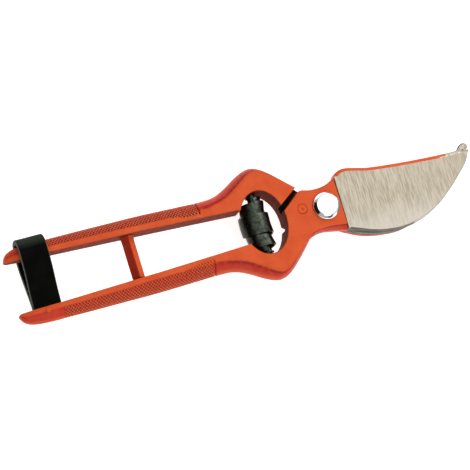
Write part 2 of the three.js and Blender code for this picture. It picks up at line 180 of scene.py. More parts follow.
def raw(name, shape):
    """A linked object from millimetre vertices and faces, its faces turned outwards."""
    mesh = bpy.data.meshes.new(name)
    mesh.from_pydata(shape[0], [], shape[1])
    made = bmesh.new()
    made.from_mesh(mesh)
    bmesh.ops.recalc_face_normals(made, faces=made.faces)
    made.to_mesh(mesh)
    made.free()
    obj = bpy.data.objects.new(name, mesh)
    bpy.context.scene.collection.objects.link(obj)
    return obj


def settle(obj):
    """Makes the modifiers' result the object's own mesh."""
    view = bpy.context.evaluated_depsgraph_get()
    mesh = bpy.data.meshes.new_from_object(obj.evaluated_get(view))
    obj.modifiers.clear()
    obj.data = mesh


WELD, COLLAPSE = 0.002, 0.001  # after a cut, vertices this close are merged and edges this short dissolved


def combine(obj, shape, operation="DIFFERENCE"):
    """Cuts a shape from obj, or joins it."""
    tool = raw("tool", shape)
    change = obj.modifiers.new("change", "BOOLEAN")
    change.operation = operation
    change.solver = "EXACT"
    change.object = tool
    settle(obj)
    bpy.data.objects.remove(tool)
    made = bmesh.new()
    made.from_mesh(obj.data)
    bmesh.ops.remove_doubles(made, verts=made.verts, dist=WELD)
    bmesh.ops.dissolve_degenerate(made, edges=made.edges, dist=COLLAPSE)
    made.to_mesh(obj.data)
    made.free()


def column(outline, z0, z1):
    """A plan outline raised from z0 to z1."""
    return skin([[(x, y, z) for x, y in outline] for z in (z0, z1)])


def flared(outline, edge, lip):
    """A plan outline raised past the heights -edge and edge, and widened there by a chamfer of lip."""
    rings = []
    for z in (-edge - lip, -edge + lip, edge - lip, edge + lip):
        wide = 2 * lip if abs(z) > edge else 0
        rings.append([(x, y, z) for x, y in inset(outline, lambda x, y: -wide)])
    return skin(rings)


def peg(x, y0, y1, r):
    """A round peg across the tool."""
    return skin([[(u, y, w) for u, w in ellipse(x, 0, r, r, 32)] for y in (y0, y1)])


def turned(profile, count):
    """A solid of revolution about Z from (radius, height) points off the axis, capped flat at both ends."""
    return skin([[(x, y, z) for x, y in ellipse(0, 0, r, r, count)] for r, z in profile])


def tube(profile, radius_at=lambda angle, r: r, count=96):
    """A ring about Z whose closed profile of (radius, height) follows radius_at(angle, radius)."""
    verts, faces = [], []
    n = len(profile)
    for i in range(count):
        a = math.tau * i / count
        for r, z in profile:
            rr = radius_at(a, r)
            verts.append((rr * math.cos(a), rr * math.sin(a), z))
    for i in range(count):
        j = (i + 1) % count
        for k in range(n):
            m = (k + 1) % n
            faces.append((i * n + k, i * n + m, j * n + m, j * n + k))
    return verts, faces


def rounded(profile, radius, steps):
    """The profile with each inner corner replaced by a short arc."""
    out = [profile[0]]
    for a, b, c in zip(profile, profile[1:], profile[2:]):
        a, b, c = Vector(a), Vector(b), Vector(c)
        r = min(radius, (a - b).length * 0.45, (c - b).length * 0.45)
        p, q = b + (a - b).normalized() * r, b + (c - b).normalized() * r
        for k in range(steps + 1):
            t = k / steps
            out.append(tuple((1 - t) ** 2 * p + 2 * t * (1 - t) * b + t**2 * q))
    return [*out, profile[-1]]


NIB = 0.05  # radius of the flat cap where a profile meets the axis


def spun(profile, radius, steps, count):
    """A solid of revolution from a profile that starts and ends on the axis, its corners rounded."""
    inner = rounded(profile, radius, steps)[1:-1]
    return turned([(NIB, profile[0][1]), *inner, (NIB, profile[-1][1])], count)


def turn_over(obj):
    """Half a turn about the tool axis, for the back lever and what it carries."""
    obj.data.transform(Matrix.Rotation(math.pi, 4, "X"))


def mark(obj, name, values):
    """A number on each vertex, for the materials to read."""
    layer = obj.data.attributes.new(name, "FLOAT", "POINT")
    layer.data.foreach_set("value", np.array(values, np.float32))


FLAT_WEIGHT = 60  # how strongly large faces pull the shading normals


def finish_piece(obj, body, node, material=None, sharp=42, weighted=True):
    """Puts a piece in the shared frame, in metres, with its finish, body and the CAD node it stands for."""
    obj.data.transform(Matrix.Scale(MM, 4) @ Matrix.Translation((0, 0, SHEAR_Z)))
    if material:
        obj.data.materials.append(material)
    obj.data.polygons.foreach_set("use_smooth", [True] * len(obj.data.polygons))
    obj.data.set_sharp_from_angle(angle=math.radians(sharp))
    if weighted:
        flat = obj.modifiers.new("flat", "WEIGHTED_NORMAL")
        flat.keep_sharp = True
        flat.weight = FLAT_WEIGHT
        settle(obj)
    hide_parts(node)
    if body:
        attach(obj, body)


# ---------------------------------------------------------------- materials
class Nodes:
    """A Principled material and short ways to add nodes to it."""

    def __init__(self, name, **sockets):
        self.material = bpy.data.materials.new(name)
        self.material.use_nodes = True
        self.tree = self.material.node_tree
        self.shader = self.tree.nodes["Principled BSDF"]
        self.coords = self.tree.nodes.new("ShaderNodeTexCoord").outputs["Object"]
        for key, value in sockets.items():
            self.shader.inputs[key.replace("_", " ")].default_value = value

    def put(self, kind, inputs=(), **settings):
        """A node with its settings, and its inputs linked or set."""
        node = self.tree.nodes.new(kind)
        for key, value in settings.items():
            setattr(node, key, value)
        for key, value in dict(inputs).items():
            if isinstance(value, bpy.types.NodeSocket):
                self.tree.links.new(value, node.inputs[key])
            else:
                node.inputs[key].default_value = value
        return node

    def placed(self, scale=(1, 1, 1), turn=(0, 0, 0)):
        """Object coordinates in metres, stretched by scale and turned."""
        inputs = {"Vector": self.coords, "Scale": scale, "Rotation": turn}
        return self.put("ShaderNodeMapping", inputs).outputs[0]

    def axis(self, name):
        """How far a point lies along one object axis, in metres."""
        return self.put("ShaderNodeSeparateXYZ", {"Vector": self.coords}).outputs[name]

    def noise(self, size, detail=3.0, scale=(1, 1, 1), turn=(0, 0, 0), rough=0.5):
        """Noise with features of about size millimetres, stretched by scale."""
        inputs = {"Vector": self.placed(scale, turn), "Scale": 1 / (size * MM)}
        inputs |= {"Detail": detail, "Roughness": rough}
        return self.put("ShaderNodeTexNoise", inputs).outputs["Fac"]

    def span(self, value, low, high, to_low=0.0, to_high=1.0):
        """A value carried from one range to another, and held at its ends."""
        inputs = {"Value": value, "From Min": low, "From Max": high, "To Min": to_low, "To Max": to_high}
        return self.put("ShaderNodeMapRange", inputs, clamp=True).outputs[0]

    def math(self, operation, a, b=0.0):
        node = self.tree.nodes.new("ShaderNodeMath")
        node.operation = operation
        for socket, value in zip(node.inputs, (a, b)):
            if isinstance(value, bpy.types.NodeSocket):
                self.tree.links.new(value, socket)
            else:
                socket.default_value = value
        return node.outputs[0]

    def mix(self, share, a, b):
        node = self.tree.nodes.new("ShaderNodeMix")
        node.data_type = "RGBA"
        for socket, value in zip((node.inputs[0], node.inputs[6], node.inputs[7]), (share, a, b)):
            if isinstance(value, bpy.types.NodeSocket):
                self.tree.links.new(value, socket)
            else:
                socket.default_value = (*value, 1) if isinstance(value, tuple) else value
        return node.outputs[2]

    def attribute(self, name):
        return self.put("ShaderNodeAttribute", attribute_name=name).outputs["Fac"]

    def bump(self, height, depth, strength=1.0, normal=None):
        inputs = {"Height": height, "Distance": depth * MM, "Strength": strength}
        if normal is not None:
            inputs["Normal"] = normal
        return self.put("ShaderNodeBump", inputs).outputs[0]

    def drive(self, **sockets):
        """Links node outputs to the shader's inputs, and gives back the material."""
        for key, value in sockets.items():
            self.tree.links.new(value, self.shader.inputs[key.replace("_", " ")])
        return self.material


# chamfer, crease, pit and wall are painted shade, and crown is a painted highlight on the chequer ridges.
ENAMEL = {
    "deep": (0.55, 0.067, 0.011), "light": (0.61, 0.085, 0.018), "mottle": (0.50, 0.050, 0.010),
    "chamfer": (0.46, 0.022, 0.009), "crease": (0.27, 0.010, 0.008), "crown": (0.74, 0.15, 0.05),
    "pit": (0.10, 0.006, 0.004), "wall": (0.05, 0.005, 0.003), "bare": (0.45, 0.42, 0.36),
}
# Metres along the hook: where its enamel is ground off, over how far, and how unevenly.
BARE_FROM, BARE_RUN, BARE_WOBBLE = 0.057, 0.0015, 0.004


def paint_material(name, ground_off=False):
    """Semi-gloss orange enamel over forged steel: redder and darker on the chamfers, along the crease, in the
    grooves and in the walls as painted shade, lighter on the ridges as a painted highlight.
    With ground_off it gives way to bare steel towards the blade tip."""
    n = Nodes(name, IOR=1.5, Specular_IOR_Level=0.128)
    cloud = n.noise(9, 2)
    mottled = n.noise(2.2, 3)
    base = n.mix(n.span(cloud, 0.35, 0.65), ENAMEL["deep"], ENAMEL["light"])
    base = n.mix(n.span(mottled, 0.42, 0.62, 0, 0.22), base, ENAMEL["mottle"])
    # Painted shade: the chamfers redder and darker, a little unevenly.
    chamfer_shade = n.math("MULTIPLY", n.attribute("chamfer"), n.span(mottled, 0.3, 0.7, 0.65, 1.0))
    base = n.mix(chamfer_shade, base, ENAMEL["chamfer"])
    # Painted shade: a dark uneven line along the crease between the face and the chamfer.
    crease_shade_line = n.math("MULTIPLY", n.attribute("crease"), n.span(n.noise(1.8, 3), 0.3, 0.52))
    base = n.mix(crease_shade_line, base, ENAMEL["crease"])
    # Painted highlight on the ridges of the chequering and painted shade in its grooves, both patchy.
    patchy_light_and_shade = n.span(n.noise(7, 3), 0.35, 0.62, 0.72, 1.0)
    base = n.mix(n.math("MULTIPLY", n.attribute("crown"), patchy_light_and_shade), base, ENAMEL["crown"])
    base = n.mix(n.math("MULTIPLY", n.attribute("pit"), patchy_light_and_shade), base, ENAMEL["pit"])
    # Painted shade: the walls near black.
    wall = n.attribute("wall")
    base = n.mix(wall, base, ENAMEL["wall"])
    peel = n.noise(0.9, 2)
    forged = n.noise(5, 3)
    normal = n.bump(forged, 0.25, 0.35, n.bump(peel, 0.05, 0.5))
    gloss = n.math("ADD", n.span(mottled, 0.3, 0.7, 0.34, 0.46), n.math("MULTIPLY", wall, 0.45))
    if not ground_off:
        return n.drive(Base_Color=base, Roughness=gloss, Normal=normal)
    edge = n.math("ADD", n.axis("X"), n.math("MULTIPLY", mottled, BARE_WOBBLE))
    bare = n.span(edge, BARE_FROM, BARE_FROM + BARE_RUN)
    base = n.mix(bare, base, ENAMEL["bare"])
    return n.drive(Base_Color=base, Metallic=bare, Roughness=gloss, Normal=normal)


STEEL = {
    "dark": (0.35, 0.31, 0.245), "light": (0.40, 0.36, 0.285), "grain": (0.25, 0.22, 0.165),
    "patch": (0.38, 0.335, 0.255), "edge": (0.50, 0.455, 0.40),
}
GRIND_SLANT = math.radians(-9)
DULL_Y, BRIGHT_Y = -0.004, -0.0155  # metres across the tool, between which the steel brightens


def blade_material():
    """Warm grey steel with a fine grain ground across the blade, brighter towards the cutting edge."""
    n = Nodes("ground_steel", Metallic=1.0, Roughness=0.4)
    slant = (0, 0, GRIND_SLANT)
    fine = n.noise(0.5, 3, (1, 0.07, 1), slant, 0.6)
    coarse = n.noise(1.5, 3, (1, 0.08, 1), slant, 0.6)
    patch = n.noise(14, 2)
    base = n.mix(n.span(coarse, 0.32, 0.68), STEEL["dark"], STEEL["light"])
    base = n.mix(n.span(fine, 0.46, 0.58, 0, 0.85), base, STEEL["grain"])
    base = n.mix(n.span(patch, 0.35, 0.65, 0, 0.25), base, STEEL["patch"])
    base = n.mix(n.span(n.axis("Y"), DULL_Y, BRIGHT_Y, 0, 0.6), base, STEEL["edge"])
    normal = n.bump(fine, 0.02, 0.5, n.bump(coarse, 0.03, 0.4))
    return n.drive(Base_Color=base, Roughness=n.span(fine, 0.3, 0.7, 0.34, 0.5), Normal=normal)


def metal_material(name, light, dark, low, high, size=3.0, grain=0.5, depth=0.015):
    """A metal with a cloudy tone and a fine grain in its roughness, which runs from low to high."""
    n = Nodes(name, Metallic=1.0, Roughness=low)
    cloud = n.noise(size, 3)
    fine = n.noise(grain, 3)
    base = n.mix(n.span(cloud, 0.35, 0.65), dark, light)
    normal = n.bump(fine, depth, 0.4)
    return n.drive(Base_Color=base, Roughness=n.span(fine, 0.3, 0.7, low, high), Normal=normal)


HIDE = {
    "dark": (0.0008, 0.0009, 0.0007), "light": (0.0022, 0.0024, 0.0019), "fold_sheen": (0.030, 0.038, 0.026),
    "cut": (0.10, 0.11, 0.095),
}
PORE = 0.75
SHEEN_FROM, SHEEN_TO = 0.0145, 0.0175  # metres across the tool, over which the top of the loop gets a painted sheen


def leather_material():
    """Smooth black leather with a fine grain, its cut edges a little lighter, and a painted sheen across the
    top of the loop.
    """
    n = Nodes("black_leather", IOR=1.4, Specular_IOR_Level=0.04)
    pores = {"Vector": n.placed(), "Scale": 1 / (PORE * MM)}
    grain = n.put("ShaderNodeTexVoronoi", pores, feature="DISTANCE_TO_EDGE").outputs["Distance"]
    pore = n.span(grain, 0.0, 0.2)
    crease = n.noise(3, 4, (0.5, 2.2, 1))
    cloud = n.noise(6, 3)
    base = n.mix(n.span(cloud, 0.35, 0.65), HIDE["dark"], HIDE["light"])
    # Painted sheen: the top of the loop lighter and greenish.
    base = n.mix(n.span(n.axis("Y"), SHEEN_FROM, SHEEN_TO, 0, 0.6), base, HIDE["fold_sheen"])
    base = n.mix(n.attribute("cut"), base, HIDE["cut"])
    normal = n.bump(crease, 0.2, 0.35, n.bump(pore, 0.06, 0.45))
    return n.drive(Base_Color=base, Roughness=n.span(crease, 0.3, 0.7, 0.55, 0.7), Normal=normal)


PAINT = paint_material("orange_enamel")
HOOK_PAINT = paint_material("hook_enamel", ground_off=True)
BLADE = blade_material()
CHROME = metal_material("polished_chrome", (0.84, 0.84, 0.86), (0.80, 0.80, 0.82), 0.05, 0.09, 5, 0.6, 0.002)
# Near black: painted shade along the blades' lower sides and the hook's rim.
EDGE_SHADE = metal_material("edge_painted_shade", (0.12, 0.115, 0.09), (0.07, 0.07, 0.055), 0.4, 0.6)
ZINC = metal_material("zinc_plate", (0.55, 0.56, 0.57), (0.42, 0.43, 0.44), 0.3, 0.45)
BLUE_LIGHT, BLUE_DARK = (0.062, 0.072, 0.052), (0.022, 0.026, 0.020)
BLUED = metal_material("blued_spring", BLUE_LIGHT, BLUE_DARK, 0.22, 0.36, 1.6, 0.4, 0.012)
LEATHER = leather_material()
# Bare steel of the sliding faces, near black as painted shade of the gap between the levers.
BARE_LAP_SHADE = metal_material("bare_lap_shade_steel", (0.014, 0.007, 0.005), (0.007, 0.004, 0.003), 0.55, 0.75)


# ---------------------------------------------------------------- levers
# A handle's section over x: where its face begins and ends, how far out it reaches, and half its thickness.
INNER = straight([(TIP_X, 11.7), (-142.4, 11.35), (-125, 11.05), (-80, 9.6), (-38, 7.8), (-34, 5), (-8, 5)])
BAND = through([
    (TIP_X, 12.3), (-141.5, 13), (-137, 13.4), (-98, 12.8), (-82, 12.2), (-54, 12.1), (-46, 13.5),
    (-41, 15.4), (-35, 19.3), (-30, 22.5), (-27, 23.1), (-24, 22.2), (-20, 19.3), (-16, 15.7), (-12, 12.1),
    (-8, 8.5),
])
OUTER = through([
    (TIP_X, 13), (-142.6, 14.4), (-141, 15.8), (-138.5, 16.8), (-134, 17.4), (-127, 17.6), (-98, 17.6),
    (-81, 17.5), (-62, 16.9), (-50, 16.7), (-45, 17.7), (-40, 20.1), (-35.5, 22.8), (-31, 24.9),
    (-27.4, 25.5), (-24, 24.4), (-20.5, 21.9), (-16, 17.8), (-12, 13.6), (-8, 9.3),
])
THICK = straight([(TIP_X, 1.9), (-141.5, 2.8), (-137, 3.9), (-128, 4.7), (-115, 5.1), (-85, 6), (-8, 6)])
NOSE = [(0, 1), (0.4, 0.78), (0.74, 0.5), (0.93, 0.24), (1, 0)]  # shares of the way out and of the thickness
NOSE_LINE = even(smooth([*NOSE, (0.93, -0.24)], 200)[:161], 400)
NOSE_COARSE = even(NOSE_LINE, 80)
NOSE_SKIP = 12  # points of the fine line left out beside the face
NOSE_COUNT = 34
BAND_COUNT = 12
TIP_MIDDLE, TIP_SHARE = -12.35, 0.72  # the first ring is drawn in towards here, to this share of its size
CHEQUER = {"from": -125, "to": -56.6, "pitch": 1.4, "depth": 0.42, "slope": 0.76, "stop": -55.9}
FRONT_PIT, BACK_PIT = 0.62, 1.0  # how dark the painted shade in the grooves of each lever is
GAP_EDGE = [(-19.15, 2.4), (-10.55, 9.5)]
NECK_TOP = [(-8.8, 9.8), (-5, 8.9), (-0.5, 8.9), (3.8, 9.9), (NECK_X, 11.4)]
NECK_BOTTOM = [(NECK_X, -12.1), (2.2, -11.1), (-3.8, -10.2), (-7.4, -10.6), (-11, -12.1), (-15.5, -14.4)]
BACK_NECK_BOTTOM = [(NECK_X, -11.2), (2.2, -9.4), (-3.8, -8.8), (-7.4, -9.4), (-11, -11.2), (-15.5, -13.6)]
NECK_CHAMFER = {"lower": 0.9, "square": 0.87, "growth": 0.11, "grows_from": -4, "upper": 0.35,
                "starts": -18.5, "square_from": -1}
ARRIS = ((-0.12, 0.3), (0.0, 0.1), (0.18, 0.0))  # extra inset, and depth below the face
SHOULDER = [(-19.8, 5.2), (-12.4, 10.4)]
SHOULDER_LEAN = (2.1, 2.4)  # how far the shoulder leans back, over a height this far past the lever
OPENING = {"x": -29.2, "half_x": 10.1, "half_y": 14.2, "lip": 0.35}
BOLT_HOLE = 4.08
DRILL = 10  # a cutter through a lever reaches this far from its middle
STUD_X, BAR_X = -30, -88.6
STUD_HOLE = (STUD_X, -10, -19.4, 1.88)  # place, from, to and radius
BAR_HOLE = (BAR_X, -8, -13.6, 1.58)
STRAP = {"x0": -136.8, "x1": -124.4, "thick": 2.1, "gap": 0.3, "foot": -15.1, "mouth": -9.6,
         "handle_half": 4.9, "handle_top": 17.9, "between": 0.12}
SLOT_OUTLINE = [(-137.2, -15.5), (-124.0, -15.5), (-124.0, -3.5), (-137.2, -3.5)]
SLOT_HALF = 2.6
RIVET_X, RIVET_Y, RIVET_HOLE = -131.4, -13.1, 0.98
LIP = 0.3  # the emblem's cutters start this far above the face
EMBLEM = {"x": -10.9, "y": 1.3, "r": 2.2, "groove": 0.42, "depth": 0.25, "dimple": 0.5, "sunk": 0.15}


def chequer(x, across):
    """How far the diamond pattern sinks the surface, and how much of a groove and of a ridge lies there."""
    end = CHEQUER["to"]
    ends = ease(CHEQUER["from"] - 1, CHEQUER["from"] + 1.5, x) * (1 - ease(end - 0.2, end, x))
    reach = -1.9 * ease(-72, -58, x) + 0.2
    inside = ends * ease(reach - 0.25, reach + 0.25, across)
    ridge = 0.0
    for side in (1, -1):
        t = (x + side * CHEQUER["slope"] * across) / CHEQUER["pitch"]
        ridge = max(ridge, abs(2 * (t - math.floor(t)) - 1))
    groove = 1 - ridge**1.4
    stop = math.exp(-(((x - CHEQUER["stop"]) / 0.32) ** 2)) * ease(reach - 0.3, reach + 0.2, across)
    sink = CHEQUER["depth"] * max(groove * inside, stop)
    return sink, max(groove * inside, 0.8 * stop), inside * (1 - groove)


def section(x):
    """One ring of the handle as (distance from the tool axis, height), with the chequering sunk in."""
    inner, band, outer, half = INNER(x), BAND(x), OUTER(x), THICK(x)
    soft = min(0.5, (band - inner) / 3)
    crease = min(0.3, (band - inner) / 4)
    front = [(inner, 0.0), (inner, 0.5 * (half - soft)), (inner, half - soft)]
    for degrees in (25, 50, 72):
        a = math.radians(degrees)
        front.append((inner + soft * (1 - math.cos(a)), half - soft * (1 - math.sin(a))))
    plain = len(front)
    wide = band - crease - inner - soft
    flat = [(inner + soft + wide * k / (BAND_COUNT - 1), half) for k in range(BAND_COUNT)]
    nose = [(band + u * (outer - band), v * half) for u, v in NOSE_LINE]
    front += flat + even([(band, half - 0.05), *nose[NOSE_SKIP:]], NOSE_COUNT)
    points = front[:plain]
    travelled = -(len(flat) - 1) * (flat[1][0] - flat[0][0]) - crease
    for i in range(plain, len(front)):
        (d, z), before = front[i], front[i - 1]
        if i > plain:
            travelled += math.hypot(d - before[0], z - before[1])
        out = Vector((1, 0))
        if i < len(front) - 1:
            after = front[i + 1]
            out = Vector((before[1] - after[1], after[0] - before[0])).normalized()
        sink = chequer(x, travelled)[0]
        points.append((d - out.x * sink, z - out.y * sink))
    return points + [(d, -z) for d, z in points[-2:0:-1]]


def stations():
    """Where the rings of a handle lie, close together along the chequering."""
    xs = [TIP_X, -143.15]
    xs += list(np.arange(-142.6, -138, 0.5))
    xs += list(np.arange(-138, -126.4, 1.5))
    xs += list(np.arange(-126.2, -55.2, 0.21))
    xs += list(np.arange(-55, -9, 0.9)) + [-9]
    return xs


def lap_outline(shift):
    """Plan of the material cut away behind the lap face, its shoulder moved towards the handle by shift."""
    (x0, y0), (x1, y1) = SHOULDER
    along = Vector((x1 - x0, y1 - y0)).normalized()
    move = Vector((-along.y, along.x)) * shift
    far = 12 / along.x
    a = Vector((x0, y0)) - along * far + move
    b = Vector((x1, y1)) + along * far + move
    return [(a.x, -a.y), (b.x, -b.y), (NECK_X + 20, -30), (NECK_X + 20, 30), (a.x, 30)]


def boss_plate(neck_bottom):
    """The flat plate round the bolt, with its edges chamfered on the face."""
    neck = [*smooth(neck_bottom, 60)[::-1], *smooth(NECK_TOP, 48)[::-1]]
    outline = [*neck, *GAP_EDGE[::-1], (-23, 1), (-23, -14)]
    c = NECK_CHAMFER

    def chamfer(x, y):
        if x > NECK_X - 0.01 or x < c["starts"]:
            return 0.0
        return c["lower"] + c["growth"] * max(x - c["grows_from"], 0) if y < 0 else c["upper"]

    def ring(extra, z):
        moved = inset(outline, lambda x, y: chamfer(x, y) + (extra if chamfer(x, y) else 0))
        for i, (x, y) in enumerate(outline):
            if x > c["square_from"]:  # straight across the tool here, so that the neck's end stays flat
                rise = c["square"] + c["growth"] * (x - c["grows_from"]) + extra
                moved[i] = (x, y + (rise if y < 0 else -c["upper"] - extra))
        return [(x, y, z) for x, y in moved]

    rings = [[(x, y, z) for x, y in outline] for z in (LAP_GAP, HALF * 0.5, HALF * 0.55)]
    upper = [ring(extra, HALF - depth) for extra, depth in ARRIS]
    below = [tuple(a + 0.7 * (b - a) for a, b in zip(p, q)) for p, q in zip(rings[-1], upper[0])]
    return skin([*rings, below, *upper])


def ring_groove(x, y, r, width, depth):
    """A shallow round groove in the front face."""
    verts, faces = tube([(r - width, HALF + LIP), (r + width, HALF + LIP), (r, HALF - depth)], count=64)
    return [(x + a, y + b, z) for a, b, z in verts], faces


def lever(name, neck_bottom):
    """One forging in the front lever's own plane, its handle on the lower side."""
    rings = [[(x, -d, z) for d, z in section(x)] for x in stations()]
    middle = Vector((TIP_X, TIP_MIDDLE, 0))
    rings[0] = [tuple(middle + (Vector(p) - middle) * TIP_SHARE) for p in rings[0]]
    obj = raw(name, skin(rings))
    lean, past = SHOULDER_LEAN
    levels = ((lean, -HALF - past), (0, -HALF + 0.3), (0, LAP_GAP))
    combine(obj, skin([[(x, y, z) for x, y in lap_outline(shift)] for shift, z in levels]))
    combine(obj, boss_plate(neck_bottom), "UNION")
    opening = ellipse(OPENING["x"], 0, OPENING["half_x"], OPENING["half_y"], 144)
    combine(obj, flared(opening, HALF, OPENING["lip"]))
    combine(obj, column(ellipse(0, 0, BOLT_HOLE, BOLT_HOLE, 64), -DRILL, DRILL))
    combine(obj, peg(*STUD_HOLE))
    return obj


def nose_length(x):
    """How long the outer flank of a handle is, from the face to the middle plane."""
    w, h = OUTER(x) - BAND(x), THICK(x)
    p = np.array(NOSE) * (w, h)
    return float(np.sum(np.linalg.norm(np.diff(p, axis=0), axis=1)))


def shade_attributes(obj, depth):
    """Marks chamfers, creases, walls and the pattern for the enamel's painted shade and highlights, from
    where each vertex lies in the lever's own plane. Grooves get painted shade by depth, from 0 to 1."""
    count = len(obj.data.vertices)
    chamfer, pit, crown, wall, crease = (np.zeros(count) for _ in range(5))
    for i, vertex in enumerate(obj.data.vertices):
        x, y, z = vertex.co
        d = -y
        if x < -13:
            band, outer, half, inner = BAND(x), OUTER(x), THICK(x), INNER(x)
            over = (d - band) / (outer - band)
            if d > inner + 0.2:
                chamfer[i] = ease(-0.02, 0.06, over) * (1 - 0.75 * ease(0.62, 0.95, over))
                beside = math.exp(-(((over - 0.13) / 0.2) ** 2))
                crease[i] = beside * ease(-57, -53, x) * (1 - ease(-20, -14, x))
            elif x < -38:
                wall[i] = 0.75 * (1 - ease(half - 0.6, half - 0.1, abs(z)))
            if x < CHEQUER["stop"] + 2 and d > inner + 1:
                across = d - band
                if over > 0:
                    k = np.argmin([(a - over) ** 2 + (b - abs(z) / half) ** 2 for a, b in NOSE_COARSE])
                    across = k / (len(NOSE_COARSE) - 1) * nose_length(x)
                _, groove, ridge = chequer(x, across)
                pit[i] = depth * ease(0.12, 0.55, groove)
                crown[i] = ease(0.6, 1.0, ridge)
        elif 0.2 < z < HALF - 0.02:
            chamfer[i] = 0.9 if z < HALF - 0.15 else 0.45
            crease[i] = 1.0 if z > HALF - 0.35 and y < 0 and x < NECK_X - 0.1 else 0.0
        # The opening's wall gets painted shade.
        ratio = ((x - OPENING["x"]) / OPENING["half_x"]) ** 2 + (y / OPENING["half_y"]) ** 2
        if abs(ratio - 1) < 0.03 and abs(z) < HALF - 0.2:
            wall[i] = 0.8
    mark(obj, "chamfer", chamfer)
    mark(obj, "pit", pit)
    mark(obj, "crown", crown)
    mark(obj, "wall", wall)
    mark(obj, "crease", crease)


def darken_lap(obj):
    """Enamels a lever, but for its sliding face and shoulder, which are bare steel coloured near black as
    painted shade where they show in the gap.
    """
    (x0, y0), (x1, y1) = SHOULDER
    along = Vector((x1 - x0, -(y1 - y0))).normalized()
    obj.data.materials.append(PAINT)
    obj.data.materials.append(BARE_LAP_SHADE)
    for face in obj.data.polygons:
        x, y, z = face.center
        off = abs((x - x0) * along.y - (y + y0) * along.x)
        sliding = face.normal.z < -0.9 and abs(z - LAP_GAP) < 0.02
        if sliding or (off < 0.1 and -HALF + 0.4 < z < LAP_GAP and x < -8):
            face.material_index = 1


front_lever = lever("front_lever_forged", NECK_BOTTOM)
e = EMBLEM
combine(front_lever, ring_groove(e["x"], e["y"], e["r"], e["groove"], e["depth"]))
dimple = ellipse(e["x"], e["y"], e["dimple"], e["dimple"], 24)
combine(front_lever, column(dimple, HALF - e["sunk"], HALF + LIP))
combine(front_lever, column(SLOT_OUTLINE, -SLOT_HALF, SLOT_HALF))
combine(front_lever, column(ellipse(RIVET_X, RIVET_Y, RIVET_HOLE, RIVET_HOLE, 32), -DRILL, DRILL))
shade_attributes(front_lever, FRONT_PIT)
darken_lap(front_lever)
finish_piece(front_lever, FRONT, "front_lever")

back_lever = lever("back_lever_forged", BACK_NECK_BOTTOM)
combine(back_lever, peg(*BAR_HOLE))
shade_attributes(back_lever, BACK_PIT)
darken_lap(back_lever)
turn_over(back_lever)
finish_piece(back_lever, BACK, "back_lever")


# ---------------------------------------------------------------- blades
BLADE_TOP = [
    (6.9, 11.3), (8.6, 13.3), (12.4, 14.4), (24, 12.3), (35, 11.3), (47, 10.6), (60, 10.2), (71.4, 10.2),
]
BLADE_EDGE = [
    (73.3, 9.3), (70.6, 4.7), (65.3, -0.6), (59.2, -5.8), (52.4, -10.8), (45.5, -14.3), (38.3, -16.6),
    (31, -17.4), (24, -16.9), (17, -15.4), (11.5, -13.4), (6.9, -12),
]
BLADE_BUTT = NECK_X + 0.6  # the blade's root reaches this far
BEVEL = {"root": 0.25, "spine": 1.45, "edge": 0.55}
HOOK_BACK = [
    (6.9, -11.4), (10.5, -13.7), (16, -15.9), (24, -17.4), (31, -17.6), (38, -16.1), (46, -12.4), (54, -6.9),
    (62, 0), (69, 6.8), (73.7, 11),
]
HOOK_EDGE = [
    (73.6, 12), (72.9, 12.8), (71.6, 13.1), (70.2, 12.6), (68.8, 11.2), (65, 7.8), (57, 2.2), (48, -2.2),
    (38, -4.6), (28, -4.6), (20, -2), (14, 3), (10, 7.6), (6.9, 10.9),
]
PAINTED_TO = 61.5  # the enamel on the spine has been ground off beyond this
DARK_TO = 38  # and the near-black painted shade below the cutting edge narrows beyond this
HOOK_BASE, HOOK_RISE = -5.9, 0.05  # height of the hook's back at the bolt, and its rise along the tool
HOOK_STRIP = -1.3  # the enamel of the hook ends at this height


def counter_clockwise(points):
    area = sum(a[0] * b[1] - b[0] * a[1] for a, b in zip(points, points[1:] + points[:1]))
    return points if area > 0 else points[::-1]


def face_height(x, y):
    """The ground face of the front blade is one plane that thins towards the tip and the cutting edge."""
    return 6.58 - 0.0665 * x + 0.0375 * y


def on_spine(x, y):
    """Whether a point of the blade's outline lies along its blunt back."""
    return y > 7 + 0.03 * x


def front_blade():
    """The wide ground blade, its spine enamelled and its lower side coloured near black as painted shade."""
    outline = counter_clockwise([*smooth(BLADE_TOP, 120), *smooth(BLADE_EDGE, 160)])
    corners = [BLADE_TOP[0], BLADE_EDGE[-1], BLADE_TOP[-1], BLADE_EDGE[0]]

    def bevel(x, y):
        near = min(math.hypot(x - a, y - b) for a, b in corners)
        wide = BEVEL["root"] if x < BLADE_BUTT else BEVEL["spine"] if on_spine(x, y) else BEVEL["edge"]
        return min(wide, 0.3 + 0.8 * near)

    def blunt(x, y):
        return 1.0 if on_spine(x, y) else 1 - ease(0, 9, x - NECK_X - 0.1)

    def drawn_in(share):
        return inset(outline, lambda x, y: bevel(x, y) * share)

    def side(share, low, drop):
        """A ring at height low along the cutting edge, and drop below the face where the blade is blunt."""
        rise = [(face_height(x, y) - drop - low) * blunt(x, y) for x, y in outline]
        return [(x, y, low + up) for (x, y), up in zip(drawn_in(share), rise)]

    def ground(share, drop):
        return [(x, y, face_height(x, y) - drop) for x, y in drawn_in(share)]

    foot = [(x, y, LAP_GAP + 0.06) for x, y in outline]
    rings = [foot, side(0.0, 0.7, 1.2), side(0.3, 1.1, 0.6), ground(0.9, 0.07), ground(1.12, 0.0)]
    obj = raw("front_blade_ground", skin(rings))
    for m in (BLADE, PAINT, EDGE_SHADE):
        obj.data.materials.append(m)
    for face in obj.data.polygons:
        x, y, z = face.center
        top = face_height(x, y)
        if len(face.vertices) != 4 or z >= top - 0.03:
            continue
        if on_spine(x, y):
            face.material_index = 1 if x < PAINTED_TO else 0
        # Painted shade: the lower side below the cutting edge near black.
        elif x > 7 and z < (top - 0.4 if x < DARK_TO else 1):
            face.material_index = 2
    finish_piece(obj, FRONT, "front_blade", sharp=25)


